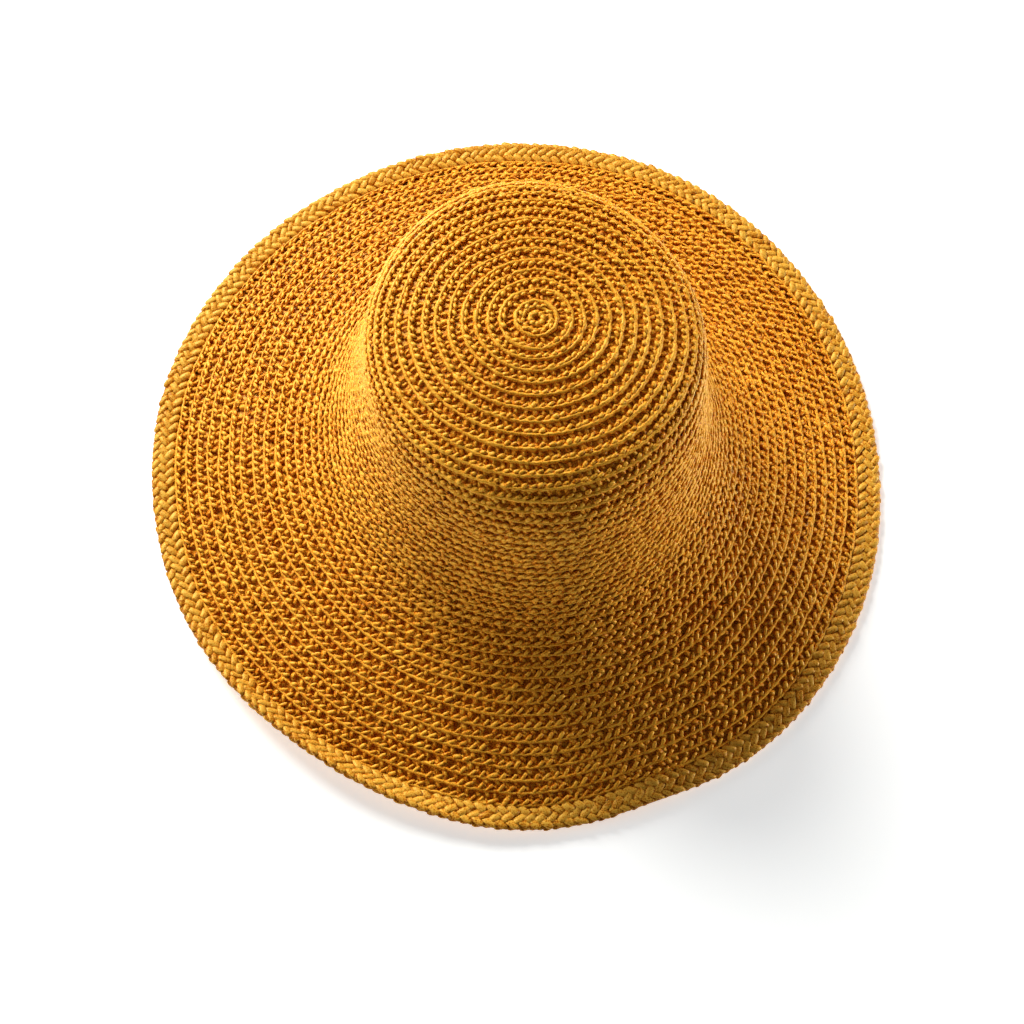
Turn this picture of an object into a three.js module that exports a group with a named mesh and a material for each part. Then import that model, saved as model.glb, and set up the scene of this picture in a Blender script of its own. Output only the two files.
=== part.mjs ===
// A crocheted sun hat: a domed crown, a flaring side, a wide sloping brim, and a flat braid sewn round
// the brim's edge. Millimetres, +Z up. The front of the hat is towards -Y. The hat stands on its edge:
// the origin is on the table, under the middle of the brim.
//
// Each crocheted piece is a hollow shell of revolution-like rings. A ring is an oval, and the rings
// follow the table of sections below, from the small hole in the middle of the crown to the last
// round of the brim.

import * as THREE from 'three';

// ---- Driving dimensions -------------------------------------------------------------------------

const FABRIC = 4;            // thickness of the crocheted wall
const RIB_DEPTH = 1.2;       // how far the valley between two rounds lies below their ridges
const SEAM_GAP = 0.3;        // clearance between neighbouring pieces
const AROUND = 44;           // facets round a crocheted ring
const BRAID_WIDTH = 13;      // the flat braid, across
const BRAID_THICKNESS = 6;
const BRAID_FACETS = 88;     // facets round the braid, two for each facet of the brim
const BRAID_TURN = 20;       // how far the braid turns up from the brim's slope, to lie flat (degrees)
const TABLE = 0;             // height of the surface that the braid rests on

// The rounds of crochet, counted from the middle of the crown, that each piece runs between.
const TOP_ROUNDS = { first: 0, last: 17 };
const SIDE_ROUNDS = { first: 17, last: 33 };
const BRIM_ROUNDS = { first: 33, last: 48 };

// Rings of the plain inner side of each piece, between its two edges.
const INNER_RINGS = { top: 6, side: 4, brim: 5 };

// One row for each section of the outer side. The oval at a round has halfWidth along X and halfLength
// along Y, its middle is at shiftX, shiftY, its front and back are at height, and its left and right
// hang lower by sideDrop.
const SECTIONS = [
  { round: 0, halfWidth: 1.8, halfLength: 1.8, shiftX: 9.1, shiftY: -4.5, height: 150.1, sideDrop: 0 },
  { round: 1, halfWidth: 11.2, halfLength: 11.0, shiftX: 9.0, shiftY: -4.5, height: 149.9, sideDrop: 0 },
  { round: 4, halfWidth: 29.8, halfLength: 29.2, shiftX: 8.8, shiftY: -4.5, height: 148.8, sideDrop: 0 },
  { round: 8, halfWidth: 55.2, halfLength: 55.4, shiftX: 8.5, shiftY: -4.5, height: 146.0, sideDrop: 1.8 },
  { round: 12, halfWidth: 78.2, halfLength: 81.2, shiftX: 8.4, shiftY: -4.5, height: 140.2, sideDrop: 4.2 },
  { round: 14, halfWidth: 82.6, halfLength: 91.2, shiftX: 8.4, shiftY: -4.5, height: 133.4, sideDrop: 5.4 },
  { round: 16, halfWidth: 83.8, halfLength: 97.4, shiftX: 8.4, shiftY: -4.5, height: 123.8, sideDrop: 6.6 },
  { round: 18, halfWidth: 84.6, halfLength: 100.2, shiftX: 8.1, shiftY: -4.2, height: 113.6, sideDrop: 7.8 },
  { round: 22, halfWidth: 87.0, halfLength: 103.2, shiftX: 7.2, shiftY: -3.7, height: 94.1, sideDrop: 8.2 },
  { round: 27, halfWidth: 92.6, halfLength: 107.5, shiftX: 5.9, shiftY: -3.1, height: 70.4, sideDrop: 7.6 },
  { round: 32, halfWidth: 102.4, halfLength: 114.2, shiftX: 4.6, shiftY: -2.4, height: 49.0, sideDrop: 6.3 },
  { round: 35, halfWidth: 112.0, halfLength: 124.0, shiftX: 3.8, shiftY: -1.9, height: 37.4, sideDrop: 5.0 },
  { round: 38, halfWidth: 125.4, halfLength: 138.0, shiftX: 2.9, shiftY: -1.3, height: 27.8, sideDrop: 3.8 },
  { round: 43, halfWidth: 154.0, halfLength: 167.3, shiftX: 1.0, shiftY: -0.3, height: 15.4, sideDrop: 2.2 },
  { round: 48, halfWidth: 183.6, halfLength: 196.0, shiftX: 1.2, shiftY: -0.3, height: 5.0, sideDrop: 0.8 },
];

// One row for each soft fold of the brim's edge: where it is, how wide it is, how far it pushes the
// edge out, how far it lifts it, and how much further it turns the braid up (degrees).
const EDGE_FOLDS = [
  { angle: 52, spread: 22, reach: 2.6, lift: 1.5, turn: 0 },
  { angle: 88, spread: 30, reach: -0.4, lift: 0, turn: 12 },
  { angle: 108, spread: 14, reach: -0.8, lift: 0, turn: 0 },
  { angle: 160, spread: 20, reach: 1.5, lift: 0.5, turn: 0 },
  { angle: 226, spread: 26, reach: 0.9, lift: 3.6, turn: 34 },
  { angle: 260, spread: 14, reach: 2.2, lift: 1.0, turn: 0 },
  { angle: 281, spread: 9, reach: -1.6, lift: 2.5, turn: 0 },
  { angle: 303, spread: 14, reach: 1.2, lift: -0.5, turn: 0 },
  { angle: 353, spread: 22, reach: -2.4, lift: -0.6, turn: 0 },
];
const FOLDS_BEGIN = 37;      // the round at which the folds of the edge start to show

const FINISH = { color: 0xc98a2b, roughness: 0.85, metalness: 0 };
const BRAID_FINISH = { color: 0xd9a441, roughness: 0.75, metalness: 0 };

// ---- The outer side as a function of round and angle ----------------------------------------------

const COLUMNS = ['halfWidth', 'halfLength', 'shiftX', 'shiftY', 'height', 'sideDrop'];

// Slope of one column at row i, chosen so that the curve never overshoots its table.
function columnSlope(column, i) {
  const rise = (k) => (SECTIONS[k + 1][column] - SECTIONS[k][column])
    / (SECTIONS[k + 1].round - SECTIONS[k].round);
  if (i === 0) {
    return rise(0);
  }
  if (i === SECTIONS.length - 1) {
    return rise(i - 1);
  }
  const before = rise(i - 1);
  const after = rise(i);
  return before * after <= 0 ? 0 : (2 * before * after) / (before + after);
}

// Value of one column at any round: a cubic between two rows of the table.
function columnAt(column, round) {
  let i = 0;
  while (i < SECTIONS.length - 2 && round > SECTIONS[i + 1].round) {
    i += 1;
  }
  const span = SECTIONS[i + 1].round - SECTIONS[i].round;
  const t = (round - SECTIONS[i].round) / span;
  const startSlope = columnSlope(column, i) * span;
  const endSlope = columnSlope(column, i + 1) * span;
  return (2 * t ** 3 - 3 * t ** 2 + 1) * SECTIONS[i][column]
    + (t ** 3 - 2 * t ** 2 + t) * startSlope
    + (3 * t ** 2 - 2 * t ** 3) * SECTIONS[i + 1][column]
    + (t ** 3 - t ** 2) * endSlope;
}

function sectionAt(round) {
  return Object.fromEntries(COLUMNS.map((column) => [column, columnAt(column, round)]));
}

// Sum of one column of the edge's folds at an angle in radians.
function foldAt(column, angle) {
  const degrees = THREE.MathUtils.radToDeg(angle);
  let sum = 0;
  for (const fold of EDGE_FOLDS) {
    const away = THREE.MathUtils.euclideanModulo(degrees - fold.angle + 180, 360) - 180;
    sum += fold[column] * Math.exp(-((away / fold.spread) ** 2));
  }
  return sum;
}

function outerPoint(round, angle) {
  const section = sectionAt(round);
  const last = BRIM_ROUNDS.last;
  const folded = THREE.MathUtils.smoothstep(round, FOLDS_BEGIN, last + 2);
  const reach = folded * foldAt('reach', angle);
  const lift = folded * foldAt('lift', angle);
  return new THREE.Vector3(
    section.shiftX + (section.halfWidth + reach) * Math.cos(angle),
    section.shiftY + (section.halfLength + reach) * Math.sin(angle),
    section.height - section.sideDrop * Math.cos(angle) ** 2 + lift,
  );
}

// Unit vectors at a point of the outer side: down the fabric towards the edge, and outwards from it.
function directionsAt(round, angle) {
  const step = 0.02;
  const down = outerPoint(round + step, angle).sub(outerPoint(round - step, angle)).normalize();
  const along = outerPoint(round, angle + step).sub(outerPoint(round, angle - step)).normalize();
  const outwards = along.clone().cross(down).negate().normalize();
  return { down, outwards };
}

// A point sunk into the fabric from its outer side.
function sunkPoint(round, angle, depth) {
  const { outwards } = directionsAt(round, angle);
  return outerPoint(round, angle).addScaledVector(outwards, -depth);
}

// ---- Closed meshes from rings --------------------------------------------------------------------

// Joins rings into one closed skin; the last ring joins the first one.
function skinOfRings(rings) {
  const count = rings[0].length;
  const positions = rings.flat().flatMap((point) => point.toArray());
  const triangles = [];
  for (let i = 0; i < rings.length; i += 1) {
    const next = (i + 1) % rings.length;
    for (let j = 0; j < count; j += 1) {
      const k = (j + 1) % count;
      const corner = [i * count + j, next * count + j, next * count + k, i * count + k];
      triangles.push(corner[0], corner[1], corner[2]);
      triangles.push(corner[0], corner[2], corner[3]);
    }
  }
  const geometry = new THREE.BufferGeometry();
  geometry.setAttribute('position', new THREE.Float32BufferAttribute(positions, 3));
  geometry.setIndex(triangles);
  geometry.computeVertexNormals();
  return geometry;
}

function ring(count, pointAt) {
  return Array.from({ length: count }, (_, j) => pointAt((j / count) * 2 * Math.PI));
}

// A crocheted shell between two rounds: ribbed outside, plain inside. The fabric is pulled back from
// both of its edges by half of the seam's clearance.
function crochetShell({ first, last }, innerRings) {
  const trim = (SEAM_GAP / 2) / meanRoundHeight(first, last);
  const from = first + trim;
  const to = last - trim;
  const rings = [];
  for (let half = 0; half <= (last - first) * 2; half += 1) {
    const round = THREE.MathUtils.clamp(first + half / 2, from, to);
    const depth = half % 2 === 0 ? RIB_DEPTH : 0;
    rings.push(ring(AROUND, (angle) => sunkPoint(round, angle, depth)));
  }
  for (let i = 0; i <= innerRings + 1; i += 1) {
    const round = to + ((from - to) * i) / (innerRings + 1);
    rings.push(ring(AROUND, (angle) => sunkPoint(round, angle, FABRIC)));
  }
  return skinOfRings(rings);
}

// Height of one round along the front of the fabric, on average between two rounds.
function meanRoundHeight(first, last) {
  const front = -Math.PI / 2;
  return outerPoint(first, front).distanceTo(outerPoint(last, front)) / (last - first);
}

// The flat braid's outline across its length: x is towards its outer edge, y is up out of the fabric.
function braidOutline() {
  const half = BRAID_WIDTH / 2;
  const thick = BRAID_THICKNESS / 2;
  const shoulder = { x: 0.72 * half, y: 0.84 * thick };
  return [
    new THREE.Vector2(half, 0),
    new THREE.Vector2(shoulder.x, -shoulder.y),
    new THREE.Vector2(0, -thick),
    new THREE.Vector2(-shoulder.x, -shoulder.y),
    new THREE.Vector2(-half, 0),
    new THREE.Vector2(-shoulder.x, shoulder.y),
    new THREE.Vector2(0, thick),
    new THREE.Vector2(shoulder.x, shoulder.y),
  ];
}

// One point of the braid. It is sewn to the middle of the brim's last edge, turns up from the brim's
// slope, more so in some folds, and is pressed flat where it meets the table.
function braidPoint(angle, outline) {
  const last = BRIM_ROUNDS.last;
  const { down, outwards } = directionsAt(last, angle);
  const along = down.clone().cross(outwards).normalize();
  const turn = THREE.MathUtils.degToRad(BRAID_TURN + foldAt('turn', angle));
  const across = down.applyAxisAngle(along, turn);
  const up = outwards.applyAxisAngle(along, turn);
  const point = sunkPoint(last, angle, FABRIC / 2);
  point.addScaledVector(across, SEAM_GAP + BRAID_WIDTH / 2 + outline.x);
  point.addScaledVector(up, outline.y);
  point.z = Math.max(point.z, TABLE);
  return point;
}

function braidSkin() {
  return skinOfRings(braidOutline().map(
    (outline) => ring(BRAID_FACETS, (angle) => braidPoint(angle, outline)),
  ));
}

// ---- The hat --------------------------------------------------------------------------------------

function piece(name, geometry, finish) {
  const mesh = new THREE.Mesh(geometry, new THREE.MeshStandardMaterial(finish));
  mesh.name = name;
  return mesh;
}

const hat = new THREE.Group();
hat.add(piece('crown_top', crochetShell(TOP_ROUNDS, INNER_RINGS.top), FINISH));
hat.add(piece('crown_side', crochetShell(SIDE_ROUNDS, INNER_RINGS.side), FINISH));
hat.add(piece('brim', crochetShell(BRIM_ROUNDS, INNER_RINGS.brim), FINISH));
hat.add(piece('edge_braid', braidSkin(), BRAID_FINISH));

export default hat;
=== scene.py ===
"""A crocheted sun hat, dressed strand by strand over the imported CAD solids.

Lengths are millimetres until a mesh is made, angles are radians, and "row" counts the rounds of
crochet from the hole in the middle of the crown, so row 12.5 is the ridge of the thirteenth round.
The hat stands on the edge of its brim at z = 0, and its front is towards -Y.
"""

import math
from collections import namedtuple

import bpy
import numpy as np
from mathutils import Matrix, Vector


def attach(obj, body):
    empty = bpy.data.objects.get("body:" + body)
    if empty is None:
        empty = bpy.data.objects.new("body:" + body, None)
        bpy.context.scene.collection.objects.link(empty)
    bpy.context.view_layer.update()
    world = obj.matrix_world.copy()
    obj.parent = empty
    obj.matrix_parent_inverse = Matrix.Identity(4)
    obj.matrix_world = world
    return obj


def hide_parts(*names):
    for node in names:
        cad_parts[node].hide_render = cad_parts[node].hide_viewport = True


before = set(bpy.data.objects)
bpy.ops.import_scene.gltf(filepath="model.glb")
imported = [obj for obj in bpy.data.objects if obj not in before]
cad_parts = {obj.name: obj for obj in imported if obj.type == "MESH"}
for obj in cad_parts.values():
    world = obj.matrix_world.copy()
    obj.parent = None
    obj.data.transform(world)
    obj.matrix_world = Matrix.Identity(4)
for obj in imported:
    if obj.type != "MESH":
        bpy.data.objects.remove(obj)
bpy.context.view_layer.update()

MM = 0.001
SEED = 1497

# ---- The hat's form, as the solids have it ---------------------------------------------------------

FABRIC = 4.0          # thickness of the crocheted wall
ROWS = 48             # rounds of crochet
SEAM_GAP = 0.3        # between two solids
BRAID_WIDTH = 13.0
BRAID_TURN = 20       # how far the braid turns up from the brim's slope, to lie flat (degrees)

# The oval at a row: half sizes along X and Y, its middle, its height in front and behind, and how much
# lower its left and right hang.
#   row, half width, half length, shift x, shift y, height, side drop
SECTIONS = np.array([
    (0, 1.8, 1.8, 9.1, -4.5, 150.1, 0.0),
    (1, 11.2, 11.0, 9.0, -4.5, 149.9, 0.0),
    (4, 29.8, 29.2, 8.8, -4.5, 148.8, 0.0),
    (8, 55.2, 55.4, 8.5, -4.5, 146.0, 1.8),
    (12, 78.2, 81.2, 8.4, -4.5, 140.2, 4.2),
    (14, 82.6, 91.2, 8.4, -4.5, 133.4, 5.4),
    (16, 83.8, 97.4, 8.4, -4.5, 123.8, 6.6),
    (18, 84.6, 100.2, 8.1, -4.2, 113.6, 7.8),
    (22, 87.0, 103.2, 7.2, -3.7, 94.1, 8.2),
    (27, 92.6, 107.5, 5.9, -3.1, 70.4, 7.6),
    (32, 102.4, 114.2, 4.6, -2.4, 49.0, 6.3),
    (35, 112.0, 124.0, 3.8, -1.9, 37.4, 5.0),
    (38, 125.4, 138.0, 2.9, -1.3, 27.8, 3.8),
    (43, 154.0, 167.3, 1.0, -0.3, 15.4, 2.2),
    (48, 183.6, 196.0, 1.2, -0.3, 5.0, 0.8),
])

# The soft folds of the brim's edge.
#   angle (degrees), spread (degrees), reach, lift, turn of the braid upwards (degrees)
EDGE_FOLDS = np.array([
    (52, 22, 2.6, 1.5, 0),
    (88, 30, -0.4, 0.0, 12),
    (108, 14, -0.8, 0.0, 0),
    (160, 20, 1.5, 0.5, 0),
    (226, 26, 0.9, 3.6, 34),
    (260, 14, 2.2, 1.0, 0),
    (281, 9, -1.6, 2.5, 0),
    (303, 14, 1.2, -0.5, 0),
    (353, 22, -2.4, -0.6, 0),
])
REACH, LIFT, TURN = 2, 3, 4
FOLDS_BEGIN = 37


def column_slopes(x, y):
    """Slopes of smooth curves through y(x), one column of y each, that never overshoot."""
    rise = np.diff(y, axis=0) / np.diff(x)[:, None]
    before, after = rise[:-1], rise[1:]
    total = np.where(before + after == 0, 1.0, before + after)
    inner = np.where(before * after <= 0, 0.0, 2 * before * after / total)
    return np.vstack((rise[:1], inner, rise[-1:]))


SECTION_ROWS, SECTION_VALUES = SECTIONS[:, 0], SECTIONS[:, 1:]
SECTION_SLOPES = column_slopes(SECTION_ROWS, SECTION_VALUES)


def sections_at(rows):
    """The columns of SECTIONS at any rows, as arrays."""
    i = np.clip(np.searchsorted(SECTION_ROWS, rows) - 1, 0, len(SECTIONS) - 2)
    span = SECTION_ROWS[i + 1] - SECTION_ROWS[i]
    t = ((rows - SECTION_ROWS[i]) / span)[..., None]
    span = span[..., None]
    values = (
        (2 * t**3 - 3 * t**2 + 1) * SECTION_VALUES[i]
        + (t**3 - 2 * t**2 + t) * SECTION_SLOPES[i] * span
        + (3 * t**2 - 2 * t**3) * SECTION_VALUES[i + 1]
        + (t**3 - t**2) * SECTION_SLOPES[i + 1] * span
    )
    return np.moveaxis(values, -1, 0)


def folds_at(column, angles):
    """Sum of one column of the edge's folds at some angles."""
    away = (np.degrees(angles)[..., None] - EDGE_FOLDS[:, 0] + 180) % 360 - 180
    return (EDGE_FOLDS[:, column] * np.exp(-((away / EDGE_FOLDS[:, 1]) ** 2))).sum(-1)


def smoothstep(x, low, high):
    t = np.clip((x - low) / (high - low), 0, 1)
    return t * t * (3 - 2 * t)


def outer_points(rows, angles):
    """Points on the hat's outer side."""
    rows, angles = np.broadcast_arrays(np.asarray(rows, float), np.asarray(angles, float))
    half_width, half_length, shift_x, shift_y, height, side_drop = sections_at(rows)
    folded = smoothstep(rows, FOLDS_BEGIN, ROWS + 2)
    reach = folded * folds_at(REACH, angles)
    lift = folded * folds_at(LIFT, angles)
    return np.stack((
        shift_x + (half_width + reach) * np.cos(angles),
        shift_y + (half_length + reach) * np.sin(angles),
        height - side_drop * np.cos(angles) ** 2 + lift,
    ), -1)


def unit(vectors):
    return vectors / np.maximum(np.linalg.norm(vectors, axis=-1, keepdims=True), 1e-9)


def surface(rows, angles):
    """Points on the outer side, and unit vectors there: round the hat, down the fabric, out of it."""
    step = 0.02
    down = unit(outer_points(rows + step, angles) - outer_points(rows - step, angles))
    along = unit(outer_points(rows, angles + step) - outer_points(rows, angles - step))
    out = unit(np.cross(down, along))
    return outer_points(rows, angles), along, down, out


class Oval:
    """The way round the hat at one row, measured by length."""

    SAMPLES = 1440

    def __init__(self, row):
        self.angles = np.linspace(0, 2 * math.pi, self.SAMPLES + 1)
        points = outer_points(np.full(self.SAMPLES + 1, float(row)), self.angles)
        steps = np.linalg.norm(np.diff(points, axis=0), axis=1)
        self.travelled = np.concatenate(([0], np.cumsum(steps)))
        self.length = self.travelled[-1]

    def angle_at(self, distance):
        """Angles at some distances round the oval; they go on past a full turn."""
        turns = np.floor(distance / self.length)
        rest = distance - turns * self.length
        return np.interp(rest, self.travelled, self.angles) + turns * 2 * math.pi


# ---- Strands ---------------------------------------------------------------------------------------

# One strand's course, point by point. along is how far round the hat it is from the stitch's middle
# (mm), row its place in the row from 0 at the crown's side to 1 at the brim's, lift its height over the
# outer side (mm), half_width and half_thick its size there, and tone its colour from 0, the painted
# shade of a hole, to 1, the palest yarn. The first and the last point are the strand's tips.
Strand = namedtuple("Strand", "along row lift half_width half_thick tone")

# LEAF is the plump slanted loop of a stitch. UNDER_LEAF and POST lean the other way: one lies below the
# loops, and the other reaches up to the row before. INSIDE_LOOP is on the inside of the wall. Their
# tones hold painted shade: lower at the tips, and lower for strands that lie under the loops, deeper in
# the wall or on its inside.
LEAF = Strand(
    along=(-2.0, -1.75, -0.80, 0.30, 1.30, 1.55),
    row=(0.90, 0.86, 0.73, 0.58, 0.44, 0.40),
    lift=(-0.35, -0.08, 0.12, 0.20, 0.05, -0.35),
    half_width=(0, 0.84, 1.02, 1.06, 0.94, 0),
    half_thick=(0, 0.52, 0.64, 0.68, 0.60, 0),
    tone=(0.66, 0.82, 0.92, 0.98, 0.92, 0.76),
)
UNDER_LEAF = Strand(
    along=(-1.4, -1.0, 1.0, 1.4),
    row=(0.42, 0.49, 0.76, 0.83),
    lift=(-1.00, -0.65, -0.65, -1.00),
    half_width=(0, 1.35, 1.35, 0),
    half_thick=(0, 0.60, 0.60, 0),
    tone=(0.58, 0.78, 0.80, 0.60),
)
POST = Strand(
    along=(-0.60, -0.40, 0.10, 0.65, 0.80),
    row=(-0.14, -0.04, 0.16, 0.40, 0.50),
    lift=(-1.10, -0.80, -0.52, -0.50, -0.85),
    half_width=(0, 1.40, 1.48, 1.44, 0),
    half_thick=(0, 0.58, 0.64, 0.62, 0),
    tone=(0.58, 0.72, 0.80, 0.80, 0.64),
)
INSIDE_LOOP = Strand(
    along=(-2.8, -1.2, 1.2, 2.8),
    row=(0.40, 0.30, 0.28, 0.42),
    lift=(-3.2, -3.8, -3.8, -3.2),
    half_width=(0, 1.15, 1.15, 0),
    half_thick=(0, 0.75, 0.75, 0),
    tone=(0.55, 0.72, 0.72, 0.55),
)

CRUMPLE = 0.06        # how far a strand's points stray (mm)
TILT = 0.13           # how far its flat side turns away from the surface
PAINTED_SHADE = 0.13          # painted shade: how much the tone falls from a strand's top to its side, twice that underneath
STITCH_PITCH = 5.2    # from stitch to stitch round the hat (mm)
DOME_PITCH = 4.1
FEWEST_STITCHES = 11

# The cords that run round each row, the thin posts that reach the braid, and the layer in the wall.
# Their tones hold painted shade: the inside cord, the seam posts and the layer are darker than the
# outer cord. dome_tone makes the outer cord paler on the dome: painted light on the crown's lit top.
CORD = dict(row=0.90, lift=-0.05, radius=0.84, tone=0.95, sides=4, dome_swell=0.4, dome_tone=0.05)
INSIDE_CORD = dict(row=0.76, lift=-3.55, radius=0.8, tone=0.7, sides=3, dome_swell=0, dome_tone=0)
SEAM_POSTS = dict(top=-0.26, bottom=0.06, lift=-0.45, radius=0.72, tone=0.70, sides=4)
BACKING_DEPTHS = (1.9, 2.8)
BACKING_TONE = 0.70
DOME_RISE = 0.7       # how much nearer the dome's inner layer lies (mm)

# The plump rings round the small hole in the middle of the crown.
#   row, half width, depth, lumps
CENTRE_RINGS = (
    (0.14, 1.6, 0.30, 8),
    (0.50, 1.1, 0.30, 14),
    (0.04, 2.1, 2.20, 8),
)


class Weave:
    """Strands gathered for one piece: points, faces, and what the yarn's material reads at each."""

    def __init__(self, seed):
        self.random = np.random.default_rng(seed)
        self.points, self.tones, self.grains = [], [], []
        self.triangles, self.quads = [], []
        self.triangle_uvs, self.quad_uvs = [], []
        self.count = 0
        self.cells = 0

    def add(self, points, tones, grains, triangles, quads, triangle_uvs, quad_uvs):
        """Adds points with faces counted from the first of them, and the faces' places on the map.
        A place is (cell, across, up), with across and up from 0 to 1 inside the cell."""
        self.points.append(points.reshape(-1, 3))
        self.tones.append(np.broadcast_to(tones, points.shape[:-1]).ravel())
        self.grains.append(grains.reshape(-1, 3))
        self.triangles.append(triangles.reshape(-1, 3) + self.count)
        self.quads.append(quads.reshape(-1, 4) + self.count)
        self.triangle_uvs.append(triangle_uvs.reshape(-1, 3, 3) + (self.cells, 0, 0))
        self.quad_uvs.append(quad_uvs.reshape(-1, 4, 3) + (self.cells, 0, 0))
        self.count += len(self.points[-1])

    def strands(self, centres, ups, half_widths, half_thicks, tones, sides, flat=1.0):
        """Adds tapered strands. centres is (strand, point, xyz), and the first and last points are tips.
        flat under 1 squares the section off."""
        count, length = centres.shape[:2]
        rings = length - 2
        tangent = unit(np.gradient(centres, axis=1))
        side = unit(np.cross(tangent, ups))
        lift = np.cross(side, tangent)
        turn = 2 * math.pi * np.arange(sides) / sides - math.pi / 2
        across = np.sign(np.cos(turn)) * np.abs(np.cos(turn)) ** flat
        over = np.sign(np.sin(turn)) * np.abs(np.sin(turn)) ** flat
        inner = slice(1, -1)
        ring_points = (
            centres[:, inner, None]
            + side[:, inner, None] * (half_widths[:, inner, None] * across)[..., None]
            + lift[:, inner, None] * (half_thicks[:, inner, None] * over)[..., None]
        ).reshape(count, rings * sides, 3)
        points = np.concatenate((centres[:, :1], ring_points, centres[:, -1:]), 1)
        # Painted shade: each ring's tone falls towards its sides and most underneath.
        ring_tones = tones[:, inner, None] - PAINTED_SHADE * (1 - over)
        ring_tones = ring_tones.reshape(count, rings * sides)
        all_tones = np.clip(np.concatenate((tones[:, :1], ring_tones, tones[:, -1:]), 1), 0, 1)
        grains = self.grains_of(centres, sides)
        corners, places = strand_faces(rings, sides)
        first = np.arange(count)[:, None, None] * points.shape[1]
        cells = np.arange(count)[:, None, None]
        faces, uvs = [], []
        for corner, place in zip(corners, places, strict=True):
            faces.append(corner[None] + first)
            cell = np.broadcast_to(cells, (count, *place.shape[:2]))
            uvs.append(np.stack((cell, *(np.broadcast_to(place[None, ..., i], cell.shape)
                                         for i in (0, 1))), -1))
        self.add(points, all_tones, grains, faces[0], faces[1], uvs[0], uvs[1])
        self.cells += count

    def grains_of(self, centres, sides):
        """For each point of the strands: distance along its strand, way round it and the strand's own
        number, for the fibres in the material."""
        count, length = centres.shape[:2]
        steps = np.linalg.norm(np.diff(centres, axis=1), axis=2)
        travelled = np.concatenate((np.zeros((count, 1)), np.cumsum(steps, axis=1)), 1)
        own = self.random.uniform(0, 100, count)
        round_it = 1 - np.abs(2 * np.arange(sides) / sides - 1)
        inner = travelled[:, 1:-1]
        ring = np.stack(np.broadcast_arrays(
            inner[:, :, None], round_it[None, None], own[:, None, None]), -1)
        ring = ring.reshape(count, (length - 2) * sides, 3)
        ends = [np.stack((travelled[:, i], np.full(count, 0.5), own), -1)[:, None] for i in (0, -1)]
        return np.concatenate((ends[0], ring, ends[1]), 1)

    def loop(self, centres, ups, half_widths, half_thicks, tones, sides, cell_rings):
        """Adds one closed strand that goes all the way round. cell_rings rings share a map cell."""
        length = len(centres)
        tangent = unit(np.roll(centres, -1, 0) - np.roll(centres, 1, 0))
        side = unit(np.cross(tangent, ups))
        lift = np.cross(side, tangent)
        turn = 2 * math.pi * np.arange(sides) / sides - math.pi / 2
        # Painted shade: the tone falls towards the strand's sides and most underneath.
        tones = np.clip(tones[:, None] - PAINTED_SHADE * (1 - np.sin(turn)), 0, 1)
        points = (
            centres[:, None]
            + side[:, None] * (half_widths[:, None] * np.cos(turn))[..., None]
            + lift[:, None] * (half_thicks[:, None] * np.sin(turn))[..., None]
        )
        steps = np.linalg.norm(np.diff(centres, axis=0), axis=1)
        travelled = np.concatenate(([0], np.cumsum(steps)))
        round_it = 1 - np.abs(2 * np.arange(sides) / sides - 1)
        own = self.random.uniform(0, 100)
        grains = np.stack(np.broadcast_arrays(travelled[:, None], round_it[None], own), -1)
        i, j = np.meshgrid(np.arange(length), np.arange(sides), indexing="ij")
        quads = np.stack((
            i * sides + j,
            (i + 1) % length * sides + j,
            (i + 1) % length * sides + (j + 1) % sides,
            i * sides + (j + 1) % sides,
        ), -1)
        cell = i // cell_rings
        start = i % cell_rings / cell_rings
        end = start + 1 / cell_rings
        low, high = j / sides, (j + 1) / sides
        uvs = np.stack((
            np.stack((cell, start, low), -1),
            np.stack((cell, end, low), -1),
            np.stack((cell, end, high), -1),
            np.stack((cell, start, high), -1),
        ), -2)
        nothing = np.zeros((0, 3), int)
        self.add(points, tones, grains, nothing, quads, np.zeros((0, 3, 3)), uvs)
        self.cells += int(cell.max()) + 1

    def skin(self, rings, tone, cell_share=24):
        """Adds one closed skin from a grid of points (ring, around, xyz); the last ring joins the
        first one."""
        height, around = rings.shape[:2]
        i, j = np.meshgrid(np.arange(height), np.arange(around), indexing="ij")
        up, next_j = (i + 1) % height, (j + 1) % around
        quads = np.stack((
            i * around + j, up * around + j, up * around + next_j, i * around + next_j), -1)
        block = around // cell_share + 1
        cell = i * block + j // cell_share
        left = j % cell_share / cell_share
        right = left + 1 / cell_share
        uvs = np.stack((
            np.stack((cell, left, 0 * left), -1),
            np.stack((cell, left, 0 * left + 1), -1),
            np.stack((cell, right, 0 * left + 1), -1),
            np.stack((cell, right, 0 * left), -1),
        ), -2)
        grains = np.stack((
            j * 2.0, i * 1.0, np.zeros_like(j, float)), -1)
        nothing = np.zeros((0, 3), int)
        self.add(rings, tone, grains, nothing, quads, np.zeros((0, 3, 3)), uvs)
        self.cells += int(cell.max()) + 1


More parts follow.
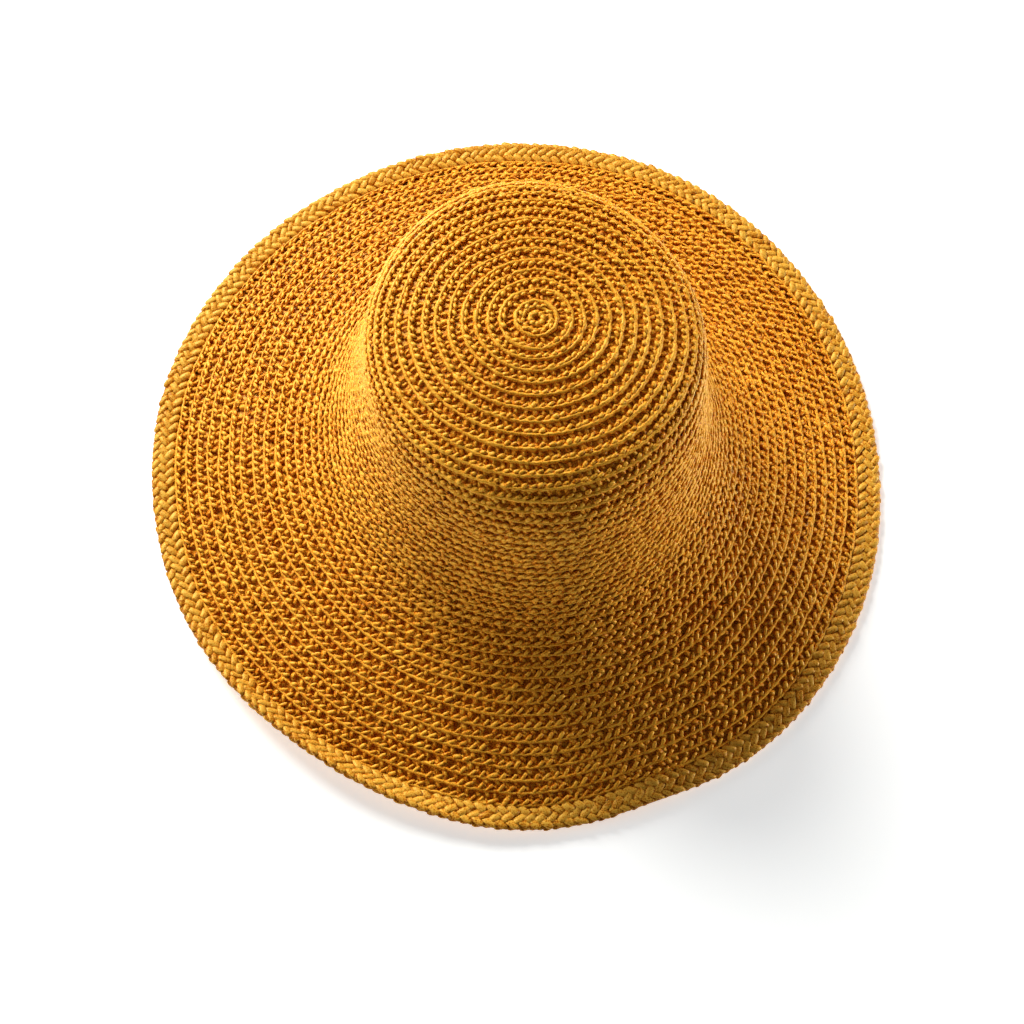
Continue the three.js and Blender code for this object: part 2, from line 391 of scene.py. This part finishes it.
def strand_faces(rings, sides):
    """Corners and map places of one strand's triangles, at its tips, and of its quads."""
    last = 1 + rings * sides
    steps = rings + 1
    triangles, triangle_places = [], []
    for j in range(sides):
        k = (j + 1) % sides
        low, high = j / sides, (j + 1) / sides
        middle = (low + high) / 2
        triangles.append((0, 1 + j, 1 + k))
        triangle_places.append(((0, middle), (1 / steps, low), (1 / steps, high)))
        end = 1 + (rings - 1) * sides
        triangles.append((last, end + k, end + j))
        triangle_places.append(((1, middle), (1 - 1 / steps, high), (1 - 1 / steps, low)))
    quads, quad_places = [], []
    for i in range(rings - 1):
        for j in range(sides):
            k = (j + 1) % sides
            here, there = 1 + i * sides, 1 + (i + 1) * sides
            x0, x1 = (i + 1) / steps, (i + 2) / steps
            low, high = j / sides, (j + 1) / sides
            quads.append((here + j, there + j, there + k, here + k))
            quad_places.append(((x0, low), (x1, low), (x1, high), (x0, high)))
    corners = (np.array(triangles), np.array(quads).reshape(-1, 4))
    places = (np.array(triangle_places), np.array(quad_places).reshape(-1, 4, 2))
    return corners, places


# ---- Meshes ----------------------------------------------------------------------------------------

MAP_MARGIN = 0.06     # of a cell, left free round what it holds
LOWEST = 0.05         # no point lies lower (mm), so that none cuts the floor


def map_places(uvs, cells):
    """Puts (cell, across, up) places into a square map of equal cells."""
    grid = math.ceil(math.sqrt(cells))
    cell = uvs[..., 0].astype(int)
    across = MAP_MARGIN + (1 - 2 * MAP_MARGIN) * uvs[..., 1]
    up = MAP_MARGIN + (1 - 2 * MAP_MARGIN) * uvs[..., 2]
    return np.stack(((cell % grid + across) / grid, (cell // grid + up) / grid), -1)


def mesh_object(name, weave):
    """A Blender object in metres from what a weave has gathered."""
    points = np.concatenate(weave.points)
    points[:, 2] = np.maximum(points[:, 2], LOWEST)
    triangles, quads = np.concatenate(weave.triangles), np.concatenate(weave.quads)
    corners = np.concatenate((triangles.ravel(), quads.ravel())).astype(np.int32)
    starts = np.concatenate((
        np.arange(len(triangles)) * 3,
        len(triangles) * 3 + np.arange(len(quads)) * 4,
    )).astype(np.int32)
    mesh = bpy.data.meshes.new(name)
    mesh.vertices.add(len(points))
    mesh.vertices.foreach_set("co", (points * MM).astype(np.float32).ravel())
    mesh.loops.add(len(corners))
    mesh.loops.foreach_set("vertex_index", corners)
    mesh.polygons.add(len(starts))
    mesh.polygons.foreach_set("loop_start", starts)
    mesh.polygons.foreach_set("use_smooth", np.ones(len(starts), bool))
    # tone holds the yarn's own variation together with painted shade.
    tone = mesh.attributes.new("tone", "FLOAT", "POINT")
    tone.data.foreach_set("value", np.concatenate(weave.tones).astype(np.float32))
    grain = mesh.attributes.new("grain", "FLOAT_VECTOR", "POINT")
    grain.data.foreach_set("vector", np.concatenate(weave.grains).astype(np.float32).ravel())
    uvs = np.concatenate((
        np.concatenate(weave.triangle_uvs).reshape(-1, 3),
        np.concatenate(weave.quad_uvs).reshape(-1, 3),
    ))
    layer = mesh.uv_layers.new(name="OFBake", do_init=False)
    layer.uv.foreach_set("vector", map_places(uvs, weave.cells).astype(np.float32).ravel())
    mesh.update(calc_edges=True)
    piece = bpy.data.objects.new(name, mesh)
    bpy.context.scene.collection.objects.link(piece)
    print(f"{name}: {len(triangles) + 2 * len(quads)} triangles, {weave.cells} map cells")
    return piece


# ---- Crochet ---------------------------------------------------------------------------------------


def wander(random, count, reach):
    """Values that drift slowly round a row, about -1 to 1, with reach stitches between changes."""
    knots = max(4, round(count / reach))
    values = random.normal(0, 0.6, knots)
    at = np.arange(count) * knots / count
    low = np.floor(at).astype(int)
    t = at - low
    t = t * t * (3 - 2 * t)
    return values[low % knots] * (1 - t) + values[(low + 1) % knots] * t


def dome_share(row):
    """1 on the dome and 0 from the crown's side on."""
    return 1 - smoothstep(row, 12, 20)


class StitchRow:
    """The stitches of round k: how many, where their middles are, and how they drift and lean."""

    def __init__(self, weave, k):
        self.weave = weave
        self.random = weave.random
        self.k = k
        self.oval = Oval(k + 0.5)
        self.dome = dome_share(k)
        self.bead = 1 - smoothstep(k, 0, 4)
        pitch = STITCH_PITCH + (DOME_PITCH - STITCH_PITCH) * self.dome
        self.count = max(FEWEST_STITCHES, round(self.oval.length / pitch))
        self.pitch = self.oval.length / self.count
        self.scale = self.pitch / STITCH_PITCH
        self.phase = self.random.uniform()
        self.middles = (np.arange(self.count) + self.phase + self.vary(0.10)) * self.pitch
        self.drift = 0.06 * self.wander(3)
        self.lean = 0.25 * self.wander(6) + self.vary(0.20) - 0.45 * self.dome - 0.10 * self.bead

    def vary(self, amount):
        """A random number for each stitch, mostly within amount of 0."""
        return amount * self.random.normal(size=self.count)

    def wander(self, reach):
        """A value for each stitch that drifts slowly round the row."""
        return wander(self.random, self.count, reach)


def strand_row(stitches, middles, shape, sides, **variation):
    """Adds the strand of one shape at every stitch. variation may give lean (more of a slant), size,
    length, lift, move and tone, one value for each stitch."""
    def one(name, plain):
        return np.asarray(variation.get(name, plain), float).reshape(-1, 1)

    random = stitches.random
    along, row, lift, half_width, half_thick, tone = (np.array(x)[None] for x in shape)
    along = along * one("length", 1.0) * (1 - 0.4 * one("lean", 0.0))
    row = row.mean() + (row - row.mean()) * (1 + one("lean", 0.0)) + one("move", 0.0)
    rows = stitches.k + row + 0 * middles[:, None]
    angles = stitches.oval.angle_at(middles[:, None] + along)
    points, _, _, out = surface(rows, angles)
    centres = points + out * (lift + one("lift", 0.0))[..., None]
    centres += CRUMPLE * random.normal(size=centres.shape)
    tilts = TILT * random.normal(size=(len(middles), 1, 3))
    size = one("size", 1.0) + 0 * middles[:, None]
    tones = np.clip(tone + one("tone", 0.0), 0, 1) + 0 * middles[:, None]
    stitches.weave.strands(
        centres, unit(out + tilts), half_width * size, half_thick * size, tones, sides)


def cord_row(stitches, spec):
    """Adds the cord that runs round a row and drifts with its stitches."""
    random = stitches.random
    count = stitches.count
    steps = 2 * count
    stitch = np.arange(steps) / 2
    at = (stitch + stitches.phase) * stitches.pitch
    drift = np.interp(stitch, np.arange(count + 1), np.append(stitches.drift, stitches.drift[0]))
    wave = 0.03 * np.cos(2 * math.pi * stitch)
    rows = stitches.k + spec["row"] + drift + wave
    points, _, _, out = surface(rows, stitches.oval.angle_at(at))
    lifts = spec["lift"] + 0.14 * random.normal(size=steps)
    radius = spec["radius"] * (1 + 0.20 * random.normal(size=steps))
    radius *= 1 + stitches.dome * spec["dome_swell"]
    # Paler on the dome: painted light. The random part is the yarn's own variation.
    tones = spec["tone"] + stitches.dome * spec["dome_tone"] + 0.08 * random.normal(size=steps)
    stitches.weave.loop(points + out * lifts[:, None], out, radius, 0.9 * radius,
                        np.clip(tones, 0, 1), spec["sides"], 2)


def seam_post_row(stitches, spec):
    """Adds the thin posts that cross the seam after a row, as one zigzag."""
    random = stitches.random
    steps = 2 * stitches.count
    at = (np.arange(steps) / 2 + stitches.phase) * stitches.pitch
    at += 0.35 * random.normal(size=steps)
    share = np.tile((spec["top"], spec["bottom"]), stitches.count)
    share = share + 0.04 * random.normal(size=steps)
    lifts = spec["lift"] + 0.2 * random.normal(size=steps)
    points, _, _, out = surface(stitches.k + 1 + share, stitches.oval.angle_at(at))
    radius = spec["radius"] * (1 + 0.2 * random.normal(size=steps))
    tones = np.clip(spec["tone"] + 0.12 * random.normal(size=steps), 0, 1)
    stitches.weave.loop(
        points + out * lifts[:, None], out, radius, radius, tones, spec["sides"], 2)


def backing(weave, first, last):
    """Adds the plain layer inside the wall that closes the view through the open stitches."""
    around = 96
    angles = np.linspace(0, 2 * math.pi, around, endpoint=False)
    rings = []
    rows = np.arange(first, last + 1) + 0.0
    rows[0] = max(first, 0.02)
    for depth, order in ((BACKING_DEPTHS[0], rows), (BACKING_DEPTHS[1], rows[::-1])):
        for row in order:
            points, _, _, out = surface(np.full(around, row), angles)
            rings.append(points - out * (depth - DOME_RISE * dome_share(row)))
    # BACKING_TONE, lower than the loops' tops, is painted shade for what shows through the open
    # stitches.
    weave.skin(np.array(rings), BACKING_TONE)


def add_leaves(stitches):
    """Adds the plump slanted loops, which are thicker and slant less on the dome."""
    vary = stitches.vary
    scale, dome, bead = stitches.scale, stitches.dome, stitches.bead
    strand_row(
        stitches, stitches.middles, LEAF, 5,
        lean=np.clip(stitches.lean, -0.65, 0.55),
        size=(0.55 + 0.45 * scale) * (1 + 0.20 * dome) * (1 + vary(0.14)),
        length=scale * (1 - 0.05 * dome) * (1 - 0.10 * bead) * (1 + vary(0.14)),
        lift=vary(0.16) + 0.12 * stitches.wander(11),
        move=stitches.drift + vary(0.04),
        tone=vary(0.10) + 0.05 * stitches.wander(5),
    )


def add_under_leaves(stitches):
    """Adds the loops below, halfway between the plump ones."""
    vary = stitches.vary
    strand_row(
        stitches, stitches.middles + 0.5 * stitches.pitch, UNDER_LEAF, 3,
        lean=stitches.lean + vary(0.2),
        length=stitches.scale * (1 + vary(0.15)),
        size=1 + vary(0.12),
        move=stitches.drift + vary(0.05),
        tone=vary(0.12),
    )


def add_inside_loops(stitches):
    """Adds the loops on the inside of the wall."""
    vary = stitches.vary
    strand_row(
        stitches, stitches.middles, INSIDE_LOOP, 3,
        length=stitches.scale * (1 + vary(0.08)),
        move=vary(0.02),
        tone=vary(0.06),
    )


def add_posts(stitches):
    """Adds the posts between the loops; those of the first row keep clear of the hole."""
    vary = stitches.vary
    clear = 0.22 * (stitches.k == 0)
    strand_row(
        stitches, stitches.middles + 0.5 * stitches.pitch + vary(0.30), POST, 4,
        length=stitches.scale * (1 + vary(0.80)),
        size=stitches.scale * (1 + vary(0.15)),
        lift=vary(0.20),
        move=clear + 0.5 * stitches.drift + vary(0.05),
        tone=vary(0.10),
    )


def crochet_row(weave, k):
    """Adds every strand of round k."""
    stitches = StitchRow(weave, k)
    add_leaves(stitches)
    add_under_leaves(stitches)
    add_inside_loops(stitches)
    cord_row(stitches, CORD)
    cord_row(stitches, INSIDE_CORD)
    add_posts(stitches)
    if k == 0:
        centre_rings(weave)
    if k == ROWS - 1:
        seam_post_row(stitches, SEAM_POSTS)


def centre_rings(weave):
    """Adds the rings of CENTRE_RINGS. Their tone is painted light: darker the deeper a ring lies, and
    paler where a lump swells out.
    """
    for row, half_width, depth, lumps in CENTRE_RINGS:
        count = 4 * lumps
        angles = np.linspace(0, 2 * math.pi, count, endpoint=False)
        points, _, _, out = surface(np.full(count, row), angles)
        lump = 0.12 * np.cos(lumps * angles) + 0.07 * weave.random.normal(size=count)
        # Painted shade by depth, and a painted highlight on the lumps.
        weave.loop(points - out * (depth - lump)[:, None], out, half_width + lump, 0.85 + lump,
                   0.95 - 0.2 * depth + 0.5 * lump, 6, 4)


def crochet_piece(name, node, first, last, material):
    """Rounds first to last - 1 as one piece that stands for a CAD node."""
    weave = Weave(SEED + first)
    backing(weave, first, last)
    for k in range(first, last):
        crochet_row(weave, k)
    finish_piece(mesh_object(name, weave), node, material)


def finish_piece(piece, node, material):
    """Gives a piece its material and its body, and hides the CAD node that it stands for."""
    piece.data.materials.append(material)
    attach(piece, "root")
    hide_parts(node)


# ---- Braid -----------------------------------------------------------------------------------------

# A braid strand's course. across goes from -1 at the braid's inner edge to 1 at its outer edge, and up
# is its height over the middle of the braid (mm). The rest is as in Strand; the tones hold painted
# shade, lower at the leaves' tips.
BraidLeaf = namedtuple("BraidLeaf", "along across up half_width half_thick tone")

BRAID_PITCH = 5.4
INNER_LEAF = BraidLeaf(
    along=(-2.6, -2.4, -1.5, 0.0, 1.5, 2.4, 2.7),
    across=(-0.92, -0.88, -0.77, -0.56, -0.37, -0.25, -0.21),
    up=(0.8, 1.25, 1.60, 1.70, 1.62, 1.3, 1.0),
    half_width=(0, 1.70, 1.84, 1.90, 1.84, 1.60, 0),
    half_thick=(0, 0.60, 0.72, 0.76, 0.72, 0.6, 0),
    tone=(0.62, 0.88, 0.96, 0.98, 0.94, 0.84, 0.6),
)
MIDDLE_LEAF = BraidLeaf(
    along=(-2.9, -2.6, -1.6, 0.0, 1.6, 2.6, 2.9),
    across=(0.42, 0.38, 0.26, 0.06, -0.14, -0.24, -0.28),
    up=(0.8, 1.10, 1.38, 1.48, 1.44, 1.2, 0.8),
    half_width=(0, 1.55, 1.80, 1.90, 1.84, 1.55, 0),
    half_thick=(0, 0.50, 0.58, 0.62, 0.58, 0.5, 0),
    tone=(0.62, 0.84, 0.92, 0.96, 0.92, 0.82, 0.6),
)
OUTER_LEAF = BraidLeaf(
    along=(-3.0, -2.7, -1.6, 0.0, 1.6, 2.7, 3.0),
    across=(0.26, 0.32, 0.46, 0.62, 0.73, 0.78, 0.80),
    up=(0.7, 1.00, 1.18, 1.08, 0.80, 0.4, 0.0),
    half_width=(0, 1.50, 1.72, 1.80, 1.66, 1.25, 0),
    half_thick=(0, 0.55, 0.68, 0.74, 0.72, 0.6, 0),
    tone=(0.60, 0.80, 0.90, 0.92, 0.90, 0.80, 0.6),
)
# The core shows in the grooves between the leaves; BRAID_CORE_TONE, below the leaves' tops, is painted
# shade there.
BRAID_CORE = ((0.84, 0.50), (0.90, -0.3), (0.60, -1.2), (-0.6, -1.2), (-1.06, -0.7), (-1.06, 0.2),
              (-0.85, 1.25), (0.45, 1.15))
BRAID_CORE_TONE = 0.62


def braid_frames(angles):
    """Middle of the braid at some angles, and unit vectors along it, across it and out of it."""
    rows = np.full(np.shape(angles), float(ROWS))
    points, _, down, out = surface(rows, angles)
    along = unit(np.cross(down, out))
    turn = np.radians(BRAID_TURN + folds_at(TURN, angles))[..., None]
    across = down * np.cos(turn) + np.cross(along, down) * np.sin(turn)
    up = out * np.cos(turn) + np.cross(along, out) * np.sin(turn)
    middle = points - out * (FABRIC / 2) + across * (SEAM_GAP + BRAID_WIDTH / 2)
    return middle, across, up


def braid_row(weave, oval, middles, leaf, over, sides):
    """Adds one column of the braid's leaves; over is 1 on its upper side and -1 below."""
    random = weave.random
    count = len(middles)
    along, across, up, half_width, half_thick, tone = (np.array(x)[None] for x in leaf)
    drift = wander(random, count, 8)[:, None]

    def vary(amount):
        return amount * random.normal(size=(count, 1))

    distance = middles[:, None] + along * over * (1 + vary(0.07)) + vary(0.25)
    middle, side, out = braid_frames(oval.angle_at(distance))
    across = across * BRAID_WIDTH / 2 + vary(0.20) + 0.15 * drift
    centres = middle + side * across[..., None] + out * ((up + vary(0.14)) * over)[..., None]
    size = 1 + vary(0.07) + 0.03 * drift
    tones = np.clip(tone + vary(0.07), 0, 1)
    tilts = 0.12 * random.normal(size=(count, 1, 3))
    weave.strands(centres, unit(out * over + tilts), half_width * size, half_thick * size, tones,
                  sides, 0.5)


def braid_piece(material):
    """The whole braid: a plain core with three columns of leaves on its upper side and below."""
    weave = Weave(SEED + 99)
    oval = Oval(ROWS)
    count = round(oval.length / BRAID_PITCH)
    steps = 2 * count
    angles = oval.angle_at(np.arange(steps) * oval.length / steps)
    middle, side, out = braid_frames(angles)
    core = [middle + side * (x * BRAID_WIDTH / 2) + out * y for x, y in BRAID_CORE]
    weave.skin(np.array(core), BRAID_CORE_TONE)
    pitch = oval.length / count
    middles = np.arange(count) * pitch
    braid_row(weave, oval, middles, INNER_LEAF, 1, 8)
    braid_row(weave, oval, middles + 0.5 * pitch, MIDDLE_LEAF, 1, 8)
    braid_row(weave, oval, middles, OUTER_LEAF, 1, 8)
    for leaf, shift in ((INNER_LEAF, 0), (MIDDLE_LEAF, 0.5), (OUTER_LEAF, 0)):
        braid_row(weave, oval, middles + shift * pitch, leaf, -1, 6)
    finish_piece(mesh_object("edge_braid_leaves", weave), "edge_braid", material)


# ---- Materials -------------------------------------------------------------------------------------

# Colours by tone. The dark, redder low end is the colour of painted shade in holes, on the strands'
# sides and under them; the top is the palest yarn.
YARN_COLOURS = (
    (0.00, (0.060, 0.018, 0.005)),
    (0.25, (0.280, 0.056, 0.003)),
    (0.50, (0.560, 0.128, 0.002)),
    (0.75, (0.800, 0.270, 0.007)),
    (1.00, (0.940, 0.480, 0.045)),
)
BRAID_COLOURS = (
    (0.00, (0.070, 0.016, 0.003)),
    (0.25, (0.250, 0.052, 0.001)),
    (0.50, (0.435, 0.105, 0.002)),
    (0.75, (0.620, 0.222, 0.008)),
    (1.00, (0.780, 0.415, 0.050)),
)
YARN_ROUGHNESS = 0.42
YARN_SHINE_COLOUR = (1.0, 0.88, 0.22, 1)
BUMP_HEIGHT = 0.25    # mm

# Three noises change the tone: fibres along a strand, slow fading over the hat, and a fine speckle.
# Each is scaled, and then shifted so that the mean stays.
FIBRE_TONE = (0.24, -0.12)
FADING_TONE = (0.16, -0.08)
SPECKLE_TONE = (2.10, -1.03)
FADING_SCALE, SPECKLE_SCALE = 14.0, 1300.0


class Nodes:
    """Short calls to build one material's nodes."""

    def __init__(self, name):
        self.material = bpy.data.materials.new(name)
        self.material.use_nodes = True
        self.tree = self.material.node_tree
        self.shader = self.tree.nodes["Principled BSDF"]

    def add(self, kind, **settings):
        node = self.tree.nodes.new(kind)
        for key, value in settings.items():
            setattr(node, key, value)
        return node

    def link(self, source, target):
        self.tree.links.new(source, target)

    def math(self, operation, first, second=None, third=None):
        node = self.add("ShaderNodeMath", operation=operation)
        for i, value in enumerate((first, second, third)):
            if value is None:
                continue
            if isinstance(value, (int, float)):
                node.inputs[i].default_value = value
            else:
                self.link(value, node.inputs[i])
        return node.outputs[0]

    def noise(self, vector, scale, detail=3.0, roughness=0.55):
        node = self.add("ShaderNodeTexNoise")
        node.inputs["Scale"].default_value = scale
        node.inputs["Detail"].default_value = detail
        node.inputs["Roughness"].default_value = roughness
        self.link(vector, node.inputs["Vector"])
        return node.outputs["Fac"]

    def ramp(self, factor, colours):
        node = self.add("ShaderNodeValToRGB")
        elements = node.color_ramp.elements
        while len(elements) < len(colours):
            elements.new(0.5)
        for element, (position, colour) in zip(elements, colours, strict=True):
            element.position = position
            element.color = (*colour, 1)
        self.link(factor, node.inputs["Fac"])
        return node.outputs["Color"]


def yarn_material(name, colours):
    """Straw yarn: colour by tone, which holds painted shade, with slow fading, fibres along each
    strand and a fine speckle.
    """
    nodes = Nodes(name)
    tone = nodes.add("ShaderNodeAttribute", attribute_name="tone").outputs["Fac"]
    grain = nodes.add("ShaderNodeAttribute", attribute_name="grain").outputs["Vector"]
    place = nodes.add("ShaderNodeTexCoord").outputs["Object"]
    stretch = nodes.add("ShaderNodeVectorMath", operation="MULTIPLY")
    stretch.inputs[1].default_value = (0.45, 5.0, 1.0)
    nodes.link(grain, stretch.inputs[0])
    fibres = nodes.noise(stretch.outputs["Vector"], 1.6, 3.0, 0.6)
    fading = nodes.noise(place, FADING_SCALE, 2.0)
    speckle = nodes.noise(place, SPECKLE_SCALE, 1.0)
    shift = nodes.math("MULTIPLY_ADD", fibres, *FIBRE_TONE)
    shift = nodes.math("ADD", shift, nodes.math("MULTIPLY_ADD", fading, *FADING_TONE))
    shift = nodes.math("ADD", shift, nodes.math("MULTIPLY_ADD", speckle, *SPECKLE_TONE))
    mixed = nodes.math("ADD", tone, shift)
    nodes.link(nodes.ramp(mixed, colours), nodes.shader.inputs["Base Color"])
    rough = nodes.math("MULTIPLY_ADD", fibres, 0.25, YARN_ROUGHNESS - 0.12)
    nodes.link(rough, nodes.shader.inputs["Roughness"])
    height = nodes.math("ADD", fibres, nodes.math("MULTIPLY", speckle, 0.6))
    bump = nodes.add("ShaderNodeBump")
    bump.inputs["Strength"].default_value = 0.45
    bump.inputs["Distance"].default_value = BUMP_HEIGHT * MM
    nodes.link(height, bump.inputs["Height"])
    nodes.link(bump.outputs["Normal"], nodes.shader.inputs["Normal"])
    nodes.shader.inputs["Specular IOR Level"].default_value = 0.4
    nodes.shader.inputs["Specular Tint"].default_value = YARN_SHINE_COLOUR
    return nodes.material


def floor_material():
    """Matt white with a weak glow, which lights the hat from below as a bright studio table does."""
    nodes = Nodes("pale_floor")
    nodes.shader.inputs["Base Color"].default_value = FLOOR_COLOUR
    nodes.shader.inputs["Roughness"].default_value = 0.9
    nodes.shader.inputs["Specular IOR Level"].default_value = 0.1
    nodes.shader.inputs["Emission Color"].default_value = FLOOR_GLOW_COLOUR
    nodes.shader.inputs["Emission Strength"].default_value = FLOOR_GLOW
    return nodes.material


# ---- Stage -----------------------------------------------------------------------------------------

CAMERA_AT = (-88.3, -575.1, 1062.5)
CAMERA_LOOKS_AT = (-6.5, -28.0, -2.4)
LENS = 78.9
LIGHT_DISTANCE = 2200
LIGHTS_AIM_AT = (0, 0, 60)
WHITE = (1.0, 1.0, 1.0)
#   name, azimuth from +X and height over the floor (degrees), size (mm), power (W), colour
LIGHTS = (
    ("key", 115, 31, 1400, 90, (1.0, 1.0, 0.95)),
    ("low_right", 4, 3, 600, 42, WHITE),
    ("left", 186, 14, 600, 13, WHITE),
)
FILL_COLOUR = (1.0, 0.94, 0.88, 1)
FILL_STRENGTH = 0.09
FLOOR_HALF_SIZE = 4000
FLOOR_COLOUR = (0.93, 0.93, 0.93, 1)
FLOOR_GLOW_COLOUR = (0.94, 0.98, 1.0, 1)
FLOOR_GLOW = 0.52

# The pieces of crochet: the CAD node that each stands for, its first round, and the round after its
# last. A node with many stitches has more than one piece.
CROCHET_PIECES = (
    ("crown_top_stitches", "crown_top", 0, 17),
    ("crown_side_upper_stitches", "crown_side", 17, 25),
    ("crown_side_lower_stitches", "crown_side", 25, 33),
    ("brim_inner_stitches", "brim", 33, 39),
    ("brim_middle_stitches", "brim", 39, 44),
    ("brim_outer_stitches", "brim", 44, 48),
)


def aim(thing, place, target):
    """Puts a light or camera at a place (mm), looking at a target (mm)."""
    thing.location = Vector(place) * MM
    direction = (Vector(target) - Vector(place)).normalized()
    thing.rotation_euler = direction.to_track_quat("-Z", "Y").to_euler()
    bpy.context.scene.collection.objects.link(thing)


def add_camera():
    data = bpy.data.cameras.new("camera")
    data.lens = LENS
    data.sensor_width = 36.0
    data.clip_start = 0.05
    camera = bpy.data.objects.new("camera", data)
    aim(camera, CAMERA_AT, CAMERA_LOOKS_AT)
    bpy.context.scene.camera = camera


def add_light(name, azimuth, elevation, size, power, colour):
    """Adds a round soft light from a row of LIGHTS."""
    data = bpy.data.lights.new(name, "AREA")
    data.shape = "DISK"
    data.size = size * MM
    data.energy = power
    data.color = colour
    target = Vector(LIGHTS_AIM_AT)
    level = math.cos(math.radians(elevation))
    direction = Vector((
        level * math.cos(math.radians(azimuth)),
        level * math.sin(math.radians(azimuth)),
        math.sin(math.radians(elevation)),
    ))
    aim(bpy.data.objects.new(name, data), target + direction * LIGHT_DISTANCE, target)


def add_world():
    world = bpy.data.worlds.new("studio")
    world.use_nodes = True
    background = world.node_tree.nodes["Background"]
    background.inputs["Color"].default_value = FILL_COLOUR
    background.inputs["Strength"].default_value = FILL_STRENGTH
    bpy.context.scene.world = world


def add_floor():
    half = FLOOR_HALF_SIZE * MM
    mesh = bpy.data.meshes.new("floor")
    corners = [(-half, -half, 0), (half, -half, 0), (half, half, 0), (-half, half, 0)]
    mesh.from_pydata(corners, [], [(0, 1, 2, 3)])
    floor = bpy.data.objects.new("floor", mesh)
    bpy.context.scene.collection.objects.link(floor)
    mesh.materials.append(floor_material())


def build():
    add_camera()
    add_world()
    for light in LIGHTS:
        add_light(*light)
    add_floor()
    yarn = yarn_material("straw_yarn", YARN_COLOURS)
    braid_yarn = yarn_material("braid_yarn", BRAID_COLOURS)
    for row in CROCHET_PIECES:
        crochet_piece(*row, yarn)
    braid_piece(braid_yarn)
    bpy.context.scene.view_settings.view_transform = "Standard"


build()
